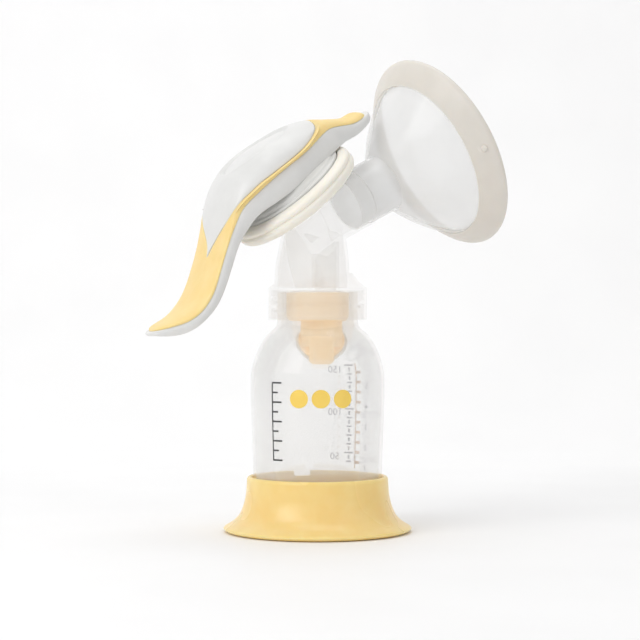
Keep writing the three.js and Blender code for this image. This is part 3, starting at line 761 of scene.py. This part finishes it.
# ---- handle ----
# Lines of the handle in the diaphragm's frame, as (distance along the handle, height). The short
# tab is at the negative end and the lever's tip at the positive end.
HANDLE_FROM, HANDLE_TO = -53, 93
CROWN = [
    (-53, 5.5), (-47, 8.6), (-41, 10.2), (-34, 15), (-25, 21.6), (-12, 26.8), (3, 29.8), (16, 29.4),
    (24, 26.8), (31, 21.9), (38, 15.9), (45, 10.3), (52, 6), (60, 1.8), (68, -1.2), (76, -2),
    (84, -0.2), (93, 2.4),
]
EDGE = [
    (-53, 4.6), (-46, 5), (-41, 6.2), (-35, 9.6), (-29, 12.8), (-23, 14.3), (-8, 15.5), (8, 17.1),
    (20, 17.1), (30, 16), (38, 12.2), (46, 7.6), (54, 2.8), (62, -1.8), (68, -3.9), (74, -4.7),
    (80, -4), (86, -1.6), (93, 1.4),
]
BOTTOM = [
    (-53, 2.4), (-48, 0.9), (-40, 0.9), (-30, 3.4), (-12, 4.9), (2, 5.8), (16, 7.7), (26, 8.7),
    (34, 7), (41, 4.4), (48, 0.3), (56, -4.2), (64, -7.6), (72, -8.9), (79, -8.8), (85, -6.8),
    (93, -0.8),
]
HALF_WIDTH = [
    (-53, 6), (-50, 6.4), (-45, 7.2), (-38, 8.2), (-31, 10.6), (-20, 16.2), (-10, 20.3), (0, 22.2),
    (10, 22.4), (20, 21), (30, 18.5), (40, 16.5), (50, 15.6), (60, 15.5), (70, 15.4), (76, 14.5),
    (82, 12), (88, 8.4), (93, 5),
]
# The seam between grip and cover, as (distance along the handle, degrees up from the edge line to
# the crown). The cover ends where it reaches 90.
SEAM = [
    (-26, 90), (-25, 62), (-22.5, 32), (-18, 17.5), (-10, 10), (0, 7.6), (9, 8.2), (18, 11),
    (26, 12.5), (32, 22), (37, 41), (41.5, 63), (46, 81), (50.5, 90),
]
END_ROUND = 4.5
GRIP_SKIN = 1.6
GRIP_INSET = 2.4  # the shell's lip shows round the grip at both ends
FINGER_DEPTH = 1.8


def section(u, inset=0):
    """Half width, edge, crown and bottom heights of the handle's outside at one place along it,
    with its rounded ends drawn in by the inset."""
    to_end = min(u - HANDLE_FROM, HANDLE_TO - u) - inset
    short = max(0, 1 - to_end / END_ROUND)
    rounding = max(0.1, math.sqrt(max(0, 1 - short * short)))
    edge, bottom = along(EDGE, u), along(BOTTOM, u)
    middle = (edge + bottom) / 2
    half = along(HALF_WIDTH, u) * rounding
    crown = edge + (along(CROWN, u) - edge) * rounding
    foot = middle + (bottom - middle) * rounding
    return half, edge, crown, foot


def crown_lift(u, angle):
    """The crown over the edge line: round over the rocker, flatter along the lever."""
    t = min(max((u - 12) / 30, 0), 1)
    return max(math.sin(angle), 0) ** (0.92 - 0.37 * t * t * (3 - 2 * t))


def finger_recess(u, y):
    away = ((u - 2) / 19) ** 2 + (y / 13) ** 2
    t = min(max((1 - away) / 0.24, 0), 1)
    return FINGER_DEPTH * t * t * (3 - 2 * t)


def top_point(u, angle, sink=0.0, inset=0):
    half, edge, crown, foot = section(u, inset)
    y = half * math.cos(angle)
    return Vector((u, y, edge + (crown - edge) * crown_lift(u, angle) - sink))


def stations(start, end, count):
    places = []
    for i in range(count + 1):
        even = i / count
        eased = (1 - math.cos(math.pi * even)) / 2
        places.append(start + (end - start) * (0.35 * even + 0.65 * eased))
    return places


SEAM_GAP = 0.009  # radians on each side of the seam
# How far the surface is turned down at each distance from a seam.
SEAM_ROLL = [(0.0, 0.4), (0.12, 0.14), (0.3, 0.03), (0.6, 0.0)]


def roll_down(distance):
    for (near, deep), (far, less) in zip(SEAM_ROLL, SEAM_ROLL[1:]):
        if near <= distance < far:
            return deep + (less - deep) * (distance - near) / (far - near)
    return 0.0


def seam_angle(u):
    if u <= SEAM[0][0] or u >= SEAM[-1][0]:
        return math.pi / 2
    return math.radians(min(max(along(SEAM, u), 0), 90))


def seam_pace(u, angle):
    """Millimetres along the surface for a radian of its angle."""
    half, edge, crown, foot = section(u)
    return math.hypot(half * math.sin(angle), (crown - edge) * math.cos(angle)) + 1


def thickened(piece, depth):
    modifier = piece.modifiers.new("thickness", "SOLIDIFY")
    modifier.thickness = depth * MM
    modifier.offset = -1
    graph = bpy.context.evaluated_depsgraph_get()
    mesh = bpy.data.meshes.new_from_object(piece.evaluated_get(graph))
    piece.modifiers.clear()
    piece.data = mesh
    return piece


def patch(name, rows, split=()):
    """An open sheet of faces through rows of points, in the diaphragm's frame. Where split is true for
    a pair of rows, the middle column of faces between them is left out."""
    bm = bmesh.new()
    verts = [[bm.verts.new(p) for p in row] for row in rows]
    middle = (len(rows[0]) - 1) // 2
    for k, (here, there) in enumerate(zip(verts, verts[1:])):
        for i in range(len(here) - 1):
            if not (i == middle and split and split[k]):
                bm.faces.new((here[i], here[i + 1], there[i + 1], there[i]))
    sheet = finish_mesh(bm, name, DISH, 60)
    outward = sum((f.normal * f.area for f in sheet.data.polygons), Vector())
    if outward.dot(dish_axis) < 0:
        sheet.data.flip_normals()
    return sheet


def handle_cover(look):
    rows = []
    steps = 84
    start, end = SEAM[0][0] + 0.15, SEAM[-1][0] - 0.3
    for u in stations(start, end, 170):
        first = min(seam_angle(u) + SEAM_GAP, math.pi / 2 - 0.002)
        to_end = min(u - start, end - u)
        half = section(u)[0]
        row = []
        for i in range(steps + 1):
            share = (1 - math.cos(math.pi * i / steps)) / 2
            angle = first + (math.pi - 2 * first) * share
            across = min(angle - first, math.pi - first - angle) * seam_pace(u, first)
            sink = roll_down(min(across, to_end)) + finger_recess(u, half * math.cos(angle))
            row.append(top_point(u, angle, sink))
        rows.append(row)
    sheet = patch("handle_cover_skin", rows)
    thickened(sheet, GRIP_SKIN)
    smooth_again(sheet, 55)
    put(sheet, "handle", look["white"], "white_plastic", "handle_cover")


def handle_grip(look):
    rows = []
    steps = 22
    seamed = []
    for u in stations(HANDLE_FROM + GRIP_INSET, HANDLE_TO - GRIP_INSET, 190):
        inner = seam_angle(u)
        seamed.append(inner < math.pi / 2 - 0.01)
        last = inner - SEAM_GAP if seamed[-1] else math.pi / 2
        side = []
        for i in range(steps + 1):
            angle = last * (i / steps) ** (1.5 if last > 0.6 else 1)
            across = (last - angle) * seam_pace(u, last)
            side.append((angle, roll_down(across) if seamed[-1] else 0.0))
        row = [top_point(u, angle, sink, GRIP_INSET) for angle, sink in side]
        row += [top_point(u, math.pi - angle, sink, GRIP_INSET) for angle, sink in reversed(side)]
        rows.append(row)
    split = [here or there for here, there in zip(seamed, seamed[1:])]
    sheet = patch("handle_grip_skin", rows, split)
    thickened(sheet, GRIP_SKIN)
    smooth_again(sheet, 55)
    put(sheet, "handle", look["grip_yellow"], "yellow_grip", "handle_grip")


def handle_shell(look):
    rings = []
    for u in stations(HANDLE_FROM + 0.1, HANDLE_TO - 0.1, 130):
        half, edge, crown, foot = section(u)
        tall = edge - foot
        side = curve_through([
            (half - 0.5, edge - 0.02), (half - 0.05, edge - 0.3), (half * 1.012 + 0.15, edge - 0.35 * tall),
            (half * 1.0, foot + 0.3 * tall), (half * 0.955, foot + 0.08 * tall), (half * 0.87, foot),
        ], 4)
        under = [(half * share, foot + 0.5 * (1 - (share / 0.87) ** 2)) for share in (0.6, 0.3, 0)]
        right = side + under
        left = [(-y, a) for y, a in right[-2::-1]]
        rings.append([(u, y, a) for y, a in right + left])
    body = lofted("handle_shell_skin", rings, DISH, sharp=50)
    put(body, "handle", look["white"], "white_plastic", "handle_shell")


def handle_rocker(look):
    profile = curve_through([(26.2, 3.3), (26.2, 4.2), (25.8, 4.6), (24.9, 4.85)], 3) + curve_through(
        [(24.6, 5), (24.4, 5.4), (24.1, 5.9), (23.2, 6.5), (20.5, 8.1), (17.4, 9.8)], 4)
    rocker = turned("handle_rocker_skin", profile + [(16.6, 10.2), (5, 10.2), (4.9, 8.8), (15.6, 8.8),
                                                     (22.6, 4.8), (24, 3.3)], DISH)
    # The rocker is white plastic. Its darker copy of the white is painted shade for the shadow under the
    # handle.
    put(rocker, "handle", look["white_in_painted_shade"], "grey_plastic", "handle_rocker")


# ---- floor ----
def floor():
    """A pale sweep: flat under the pump, curved up behind it, and lit from behind where it rises."""
    width, near, bend, radius, top = 2500, -2500, 450, 350, 1900
    profile = [(near, 0), (-200, 0), (bend, 0)]
    for k in range(1, 25):
        angle = math.pi / 2 * k / 24
        profile.append((bend + radius * math.sin(angle), radius * (1 - math.cos(angle))))
    profile.append((bend + radius, top))
    bm = bmesh.new()
    rows = [[bm.verts.new((side * width, depth, z)) for side in (-1, 1)] for depth, z in profile]
    for here, there in zip(rows, rows[1:]):
        bm.faces.new((here[0], here[1], there[1], there[0]))
    sweep = finish_mesh(bm, "floor", Matrix.Identity(4), 60)
    sweep.rotation_euler = (0, 0, -VIEW_TURN)
    nodes = Nodes("pale_floor")
    nodes.link(nodes.ramp(nodes.noise(80, 2), (0.93, 0.93, 0.935), (0.95, 0.95, 0.955)), "Base Color")
    nodes.shader.inputs["Roughness"].default_value = 0.6
    apart = nodes.tree.nodes.new("ShaderNodeSeparateXYZ")
    nodes.tree.links.new(nodes.place, apart.inputs[0])
    glow = nodes.tree.nodes.new("ShaderNodeMapRange")
    glow.interpolation_type = "SMOOTHSTEP"
    glow.inputs["From Min"].default_value = 60
    glow.inputs["From Max"].default_value = 460
    glow.inputs["To Min"].default_value = 0.0
    glow.inputs["To Max"].default_value = 0.06
    nodes.tree.links.new(apart.outputs["Y"], glow.inputs["Value"])
    nodes.link(glow.outputs["Result"], "Emission Strength")
    nodes.shader.inputs["Emission Color"].default_value = (1, 1, 1, 1)
    sweep.data.materials.append(nodes.material)


camera()
studio()
floor()
look = make_materials()
stand(look)
bottle(look)
connector(look)
valve(look)
shield(look)
diaphragm(look)
handle_shell(look)
handle_rocker(look)
handle_grip(look)
handle_cover(look)
